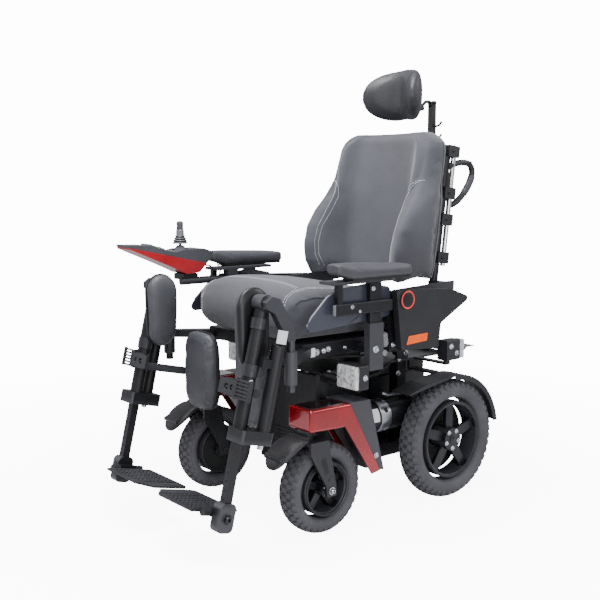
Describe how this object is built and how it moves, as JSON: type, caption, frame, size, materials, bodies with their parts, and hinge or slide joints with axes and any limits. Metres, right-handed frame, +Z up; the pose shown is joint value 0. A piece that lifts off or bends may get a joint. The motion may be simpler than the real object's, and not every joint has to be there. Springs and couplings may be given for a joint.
{
  "type": "power wheelchair",
  "caption": "Power wheelchair with rear drive wheels, front casters, tilting seat, reclining back, headrest, armrest joystick and swing-away elevating leg rests.",
  "frame": {"origin": "on the floor, under the centre of the chair's outer box", "axes": "+Z up, the chair faces -Y, the chair's left side is +X"},
  "size_m": [0.64, 1.0884, 1.284],
  "materials": {
    "frame_black": "satin black powder coat",
    "shroud_plastic": "moulded dark grey",
    "battery_case": "moulded black",
    "module_case": "anodised",
    "motor_black": "satin black with a bare steel band",
    "lever_silver": "satin",
    "fender_plastic": "moulded black",
    "lamp_black": "moulded black",
    "lamp_clear": "clear moulded lens",
    "tyre_rubber": "dark grey rubber",
    "rim_black": "satin black",
    "fork_black": "satin black",
    "cover_red": "metallic red lacquer",
    "actuator_black": "moulded black",
    "rod_steel": "polished",
    "seat_fabric": "dark grey woven fabric",
    "guard_plastic": "glossy dark moulding",
    "panel_plastic": "moulded dark grey",
    "arm_pad_skin": "grained grey vinyl",
    "handle_rubber": "moulded black rubber",
    "head_skin": "grained dark grey vinyl",
    "pod_red": "glossy red",
    "pod_black": "moulded dark grey",
    "gimbal_black": "moulded black",
    "knob_rubber": "soft black rubber",
    "button_grey": "grey rubber key",
    "leg_black": "satin black",
    "leg_pad_skin": "grained grey vinyl",
    "foot_black": "satin black",
    "plate_black": "ribbed black moulding"
  },
  "bodies": {
    "base": {"chassis_frame": "frame_black", "front_shroud": "shroud_plastic", "batteries": "battery_case", "power_module": "module_case", "gearmotor_left": "motor_black", "gearmotor_right": "motor_black", "rear_fender_left": "fender_plastic", "rear_fender_right": "fender_plastic", "caster_arm_left": "frame_black", "caster_arm_right": "frame_black", "arm_cover_left": "cover_red", "arm_cover_right": "cover_red", "lamp_housings": "lamp_black", "lamp_lenses": "lamp_clear"},
    "seat": {"seat_frame": "frame_black", "seat_cushion": "seat_fabric", "side_guard_left": "guard_plastic", "side_guard_right": "guard_plastic", "recline_cover_left": "panel_plastic", "recline_cover_right": "panel_plastic"},
    "back": {"back_frame": "frame_black", "back_cushion": "seat_fabric", "push_handles": "handle_rubber"},
    "tilt_actuator": {"tilt_actuator_body": "actuator_black"},
    "tilt_rod": {"tilt_actuator_rod": "rod_steel"},
    "headrest_stalk": {"headrest_stalk": "frame_black"},
    "headrest_link": {"headrest_link": "frame_black"},
    "headrest_pad": {"headrest_pad": "head_skin"},
    "joystick_pod": {"joystick_mount": "frame_black", "joystick_base": "pod_red", "joystick_cover": "pod_black"},
    "joystick_gimbal": {"joystick_gimbal": "gimbal_black"},
    "joystick_lever": {"joystick_lever": "knob_rubber"},
    "power_button": {"power_button": "button_grey"},
    "drive_wheel_left": {"drive_tyre_left": "tyre_rubber", "drive_rim_left": "rim_black"},
    "caster_fork_left": {"caster_fork_left": "fork_black"},
    "caster_wheel_left": {"caster_tyre_left": "tyre_rubber", "caster_rim_left": "rim_black"},
    "brake_lever_left": {"brake_lever_left": "lever_silver"},
    "armrest_left": {"armrest_post_left": "frame_black", "arm_pad_left": "arm_pad_skin"},
    "hanger_left": {"hanger_left": "frame_black"},
    "leg_left": {"leg_frame_left": "leg_black", "leg_pads_left": "leg_pad_skin"},
    "foot_left": {"foot_tube_left": "foot_black"},
    "footplate_left": {"footplate_left": "plate_black"},
    "drive_wheel_right": {"drive_tyre_right": "tyre_rubber", "drive_rim_right": "rim_black"},
    "caster_fork_right": {"caster_fork_right": "fork_black"},
    "caster_wheel_right": {"caster_tyre_right": "tyre_rubber", "caster_rim_right": "rim_black"},
    "brake_lever_right": {"brake_lever_right": "lever_silver"},
    "armrest_right": {"armrest_post_right": "frame_black", "arm_pad_right": "arm_pad_skin"},
    "hanger_right": {"hanger_right": "frame_black"},
    "leg_right": {"leg_frame_right": "leg_black", "leg_pads_right": "leg_pad_skin"},
    "foot_right": {"foot_tube_right": "foot_black"},
    "footplate_right": {"footplate_right": "plate_black"}
  },
  "joints": [
    {"name": "drive_spin_left", "type": "hinge", "parent": "base", "child": "drive_wheel_left", "pos_m": [0.263, 0.33, 0.178], "axis": [1, 0, 0], "continuous": true},
    {"name": "caster_swivel_left", "type": "hinge", "parent": "base", "child": "caster_fork_left", "pos_m": [0.248, -0.202, 0.3], "axis": [0, 0, 1], "continuous": true},
    {"name": "caster_spin_left", "type": "hinge", "parent": "caster_fork_left", "child": "caster_wheel_left", "pos_m": [0.248, -0.155, 0.125], "axis": [1, 0, 0], "continuous": true},
    {"name": "brake_release_left", "type": "hinge", "parent": "base", "child": "brake_lever_left", "pos_m": [0.196, 0.225, 0.319], "axis": [-1, 0, 0], "range_deg": [0, 30]},
    {"name": "armrest_height_left", "type": "slide", "parent": "seat", "child": "armrest_left", "axis": [0, 0, 1], "range_m": [0, 0.06]},
    {"name": "legrest_swing_left", "type": "hinge", "parent": "seat", "child": "hanger_left", "pos_m": [0.29, -0.288, 0.48], "axis": [0, 0, 1], "range_deg": [0, 90]},
    {"name": "legrest_elevate_left", "type": "hinge", "parent": "hanger_left", "child": "leg_left", "pos_m": [0.256, -0.35, 0.64], "axis": [-1, 0, 0], "range_deg": [0, 60]},
    {"name": "foot_length_left", "type": "slide", "parent": "leg_left", "child": "foot_left", "axis": [0, -0.2334, -0.9724], "range_m": [-0.04, 0.06]},
    {"name": "footplate_flip_left", "type": "hinge", "parent": "foot_left", "child": "footplate_left", "pos_m": [0.23, -0.47443, 0.12173], "axis": [0, 0.9724, -0.2334], "range_deg": [0, 90]},
    {"name": "drive_spin_right", "type": "hinge", "parent": "base", "child": "drive_wheel_right", "pos_m": [-0.263, 0.33, 0.178], "axis": [1, 0, 0], "continuous": true},
    {"name": "caster_swivel_right", "type": "hinge", "parent": "base", "child": "caster_fork_right", "pos_m": [-0.248, -0.202, 0.3], "axis": [0, 0, 1], "continuous": true},
    {"name": "caster_spin_right", "type": "hinge", "parent": "caster_fork_right", "child": "caster_wheel_right", "pos_m": [-0.248, -0.155, 0.125], "axis": [1, 0, 0], "continuous": true},
    {"name": "brake_release_right", "type": "hinge", "parent": "base", "child": "brake_lever_right", "pos_m": [-0.196, 0.225, 0.319], "axis": [-1, 0, 0], "range_deg": [0, 30]},
    {"name": "armrest_height_right", "type": "slide", "parent": "seat", "child": "armrest_right", "axis": [0, 0, 1], "range_m": [0, 0.06]},
    {"name": "legrest_swing_right", "type": "hinge", "parent": "seat", "child": "hanger_right", "pos_m": [-0.29, -0.288, 0.48], "axis": [0, 0, -1], "range_deg": [0, 90]},
    {"name": "legrest_elevate_right", "type": "hinge", "parent": "hanger_right", "child": "leg_right", "pos_m": [-0.256, -0.35, 0.64], "axis": [-1, 0, 0], "range_deg": [0, 60]},
    {"name": "foot_length_right", "type": "slide", "parent": "leg_right", "child": "foot_right", "axis": [0, -0.2334, -0.9724], "range_m": [-0.04, 0.06]},
    {"name": "footplate_flip_right", "type": "hinge", "parent": "foot_right", "child": "footplate_right", "pos_m": [-0.23, -0.47443, 0.12173], "axis": [0, -0.9724, 0.2334], "range_deg": [0, 90]},
    {"name": "seat_tilt", "type": "hinge", "parent": "base", "child": "seat", "pos_m": [0, 0.28, 0.43], "axis": [-1, 0, 0], "range_deg": [0, 30]},
    {"name": "actuator_pivot", "type": "hinge", "parent": "base", "child": "tilt_actuator", "pos_m": [0, 0.19, 0.44], "axis": [-1, 0, 0], "range_deg": [0, 40.4]},
    {"name": "actuator_stroke", "type": "slide", "parent": "tilt_actuator", "child": "tilt_rod", "axis": [0, -0.9849, 0.1733], "range_m": [0, 0.0196]},
    {"name": "back_recline", "type": "hinge", "parent": "seat", "child": "back", "pos_m": [0, 0.112, 0.616], "axis": [-1, 0, 0], "range_deg": [0, 25]},
    {"name": "headrest_height", "type": "slide", "parent": "back", "child": "headrest_stalk", "axis": [0, 0, 1], "range_m": [0, 0.08]},
    {"name": "headrest_arm", "type": "hinge", "parent": "headrest_stalk", "child": "headrest_link", "pos_m": [0, 0.531, 1.188], "axis": [-1, 0, 0], "range_deg": [0, 25]},
    {"name": "headrest_tilt", "type": "hinge", "parent": "headrest_link", "child": "headrest_pad", "pos_m": [0, 0.452, 1.178], "axis": [-1, 0, 0], "range_deg": [-8, 20]},
    {"name": "joystick_reach", "type": "slide", "parent": "armrest_right", "child": "joystick_pod", "axis": [0, -1, 0], "range_m": [0, 0.06]},
    {"name": "joystick_fore_aft", "type": "hinge", "parent": "joystick_pod", "child": "joystick_gimbal", "pos_m": [-0.28, -0.251, 0.735], "axis": [1, 0, 0], "range_deg": [-18, 18], "stiffness_Nm_per_rad": 0.3},
    {"name": "joystick_side", "type": "hinge", "parent": "joystick_gimbal", "child": "joystick_lever", "pos_m": [-0.28, -0.251, 0.735], "axis": [0, 1, 0], "range_deg": [-18, 18], "stiffness_Nm_per_rad": 0.3},
    {"name": "power_press", "type": "slide", "parent": "joystick_pod", "child": "power_button", "axis": [0, 0, -1], "range_m": [0, 0.002], "stiffness_N_per_m": 400}
  ],
  "couplings": [
    {"joint": "actuator_pivot", "follows": "seat_tilt", "ratio": 1.3127},
    {"joint": "actuator_stroke", "follows": "seat_tilt", "m_per_rad": 0.035576}
  ]
}
